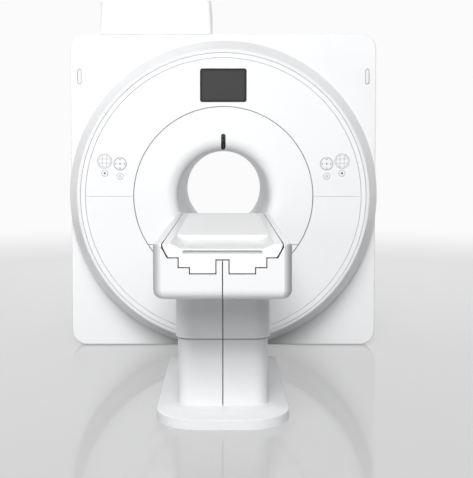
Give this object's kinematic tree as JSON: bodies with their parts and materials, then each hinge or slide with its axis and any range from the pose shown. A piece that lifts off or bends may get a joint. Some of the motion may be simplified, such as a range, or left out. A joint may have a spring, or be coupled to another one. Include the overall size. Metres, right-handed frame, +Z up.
{
  "type": "mri scanner",
  "caption": "Round-fronted magnetic resonance scanner with a flared bore and a lifting patient couch on a pedestal, whose stepped board slides into the bore.",
  "frame": {"origin": "on the floor under the bore axis, at the middle of the whole length from the couch's foot end to the back of the housing", "axes": "+X to the right seen from the couch's foot end, +Y from the couch into the bore, +Z up"},
  "size_m": [2.098, 3.668, 2.378],
  "materials": {
    "cover_white": "satin white painted covers",
    "panel_white": "white powder-coated housing panels",
    "liner_white": "smooth pale grey-white tube",
    "board_white": "white composite board",
    "pad_vinyl": "soft light grey vinyl",
    "trim_grey": "plain grey plastic",
    "display_grey": "dark grey plastic",
    "display_screen": "dark screen glass",
    "slot_dark": "near-black window",
    "key_grey": "pale grey keys",
    "vessel_steel": "stainless steel",
    "winding_copper": "resin-potted copper windings",
    "coil_resin": "cast resin",
    "frame_aluminium": "mill finish",
    "frame_paint": "grey painted steel",
    "bearing_plastic": "low-friction plastic",
    "belt_rubber": "black belt",
    "motor_dark": "dark motor casing"
  },
  "bodies": {
    "gantry": {"magnet_vessel": "vessel_steel", "coil_former": "frame_aluminium", "main_coils": "winding_copper", "gradient_coil": "coil_resin", "body_coil": "coil_resin", "bore_liner": "liner_white", "bore_rails": "liner_white", "magnet_feet": "frame_paint", "cold_head": "vessel_steel", "front_panel": "panel_white", "cover_latches": "trim_grey", "rear_cover": "panel_white", "side_covers": "panel_white", "top_cover": "panel_white", "housing_hoops": "frame_aluminium", "turret_cover": "cover_white", "rim_ring": "cover_white", "trim_ring": "cover_white", "upper_front_cover": "cover_white", "lower_front_cover": "cover_white", "upper_bell_cover": "cover_white", "lower_bell_cover": "cover_white", "slot_windows": "slot_dark", "rear_bell_cover": "cover_white", "back_plate": "frame_aluminium", "display_case": "display_grey", "display_glass": "display_screen", "control_bezels": "trim_grey", "keypads": "key_grey", "column_cover": "cover_white", "lift_mast": "frame_paint", "guide_pads": "bearing_plastic", "actuator_body": "frame_paint", "base_cover": "cover_white", "base_frame": "frame_paint", "docking_beam": "frame_paint"},
    "couch": {"couch_front": "cover_white", "couch_sides": "cover_white", "couch_belly": "cover_white", "couch_end_cover": "cover_white", "couch_frame": "frame_aluminium", "runner_strips": "bearing_plastic", "drive_belt": "belt_rubber", "drive_motor": "motor_dark", "lift_sleeve": "cover_white", "lift_carriage": "frame_paint"},
    "board": {"patient_board": "board_white", "board_end_cap": "board_white", "mattress": "pad_vinyl", "belt_clamp": "motor_dark"},
    "drive_pulley": {"drive_pulley": "frame_aluminium"},
    "idler_pulley": {"idler_pulley": "frame_aluminium"},
    "left_ring_key": {"left_ring_key": "key_grey"},
    "left_centre_key": {"left_centre_key": "key_grey"},
    "left_start_button": {"left_start_button": "key_grey"},
    "left_level_button": {"left_level_button": "key_grey"},
    "right_ring_key": {"right_ring_key": "key_grey"},
    "right_centre_key": {"right_centre_key": "key_grey"},
    "right_start_button": {"right_start_button": "key_grey"},
    "right_level_button": {"right_level_button": "key_grey"}
  },
  "joints": [
    {"name": "couch_lift", "type": "slide", "parent": "gantry", "child": "couch", "axis": [0, 0, 1], "range_m": [-0.31, 0]},
    {"name": "board_slide", "type": "slide", "parent": "couch", "child": "board", "axis": [0, 1, 0], "range_m": [0, 1.6]},
    {"name": "drive_pulley_spin", "type": "hinge", "parent": "couch", "child": "drive_pulley", "pos_m": [0, -1.694, 0.782], "axis": [-1, 0, 0], "range_deg": [-2, 4215]},
    {"name": "idler_pulley_spin", "type": "hinge", "parent": "couch", "child": "idler_pulley", "pos_m": [0, 0.097, 0.782], "axis": [-1, 0, 0], "range_deg": [-2, 4215]},
    {"name": "left_ring_key_press", "type": "slide", "parent": "gantry", "child": "left_ring_key", "axis": [0, 1, 0], "range_m": [0, 0.0015], "stiffness_N_per_m": 800},
    {"name": "left_centre_key_press", "type": "slide", "parent": "gantry", "child": "left_centre_key", "axis": [0, 1, 0], "range_m": [0, 0.0015], "stiffness_N_per_m": 800},
    {"name": "left_start_button_press", "type": "slide", "parent": "gantry", "child": "left_start_button", "axis": [0, 1, 0], "range_m": [0, 0.0015], "stiffness_N_per_m": 800},
    {"name": "left_level_button_press", "type": "slide", "parent": "gantry", "child": "left_level_button", "axis": [0, 1, 0], "range_m": [0, 0.0015], "stiffness_N_per_m": 800},
    {"name": "right_ring_key_press", "type": "slide", "parent": "gantry", "child": "right_ring_key", "axis": [0, 1, 0], "range_m": [0, 0.0015], "stiffness_N_per_m": 800},
    {"name": "right_centre_key_press", "type": "slide", "parent": "gantry", "child": "right_centre_key", "axis": [0, 1, 0], "range_m": [0, 0.0015], "stiffness_N_per_m": 800},
    {"name": "right_start_button_press", "type": "slide", "parent": "gantry", "child": "right_start_button", "axis": [0, 1, 0], "range_m": [0, 0.0015], "stiffness_N_per_m": 800},
    {"name": "right_level_button_press", "type": "slide", "parent": "gantry", "child": "right_level_button", "axis": [0, 1, 0], "range_m": [0, 0.0015], "stiffness_N_per_m": 800}
  ],
  "couplings": [
    {"joint": "drive_pulley_spin", "follows": "board_slide", "rad_per_m": 45.872},
    {"joint": "idler_pulley_spin", "follows": "board_slide", "rad_per_m": 45.872}
  ]
}
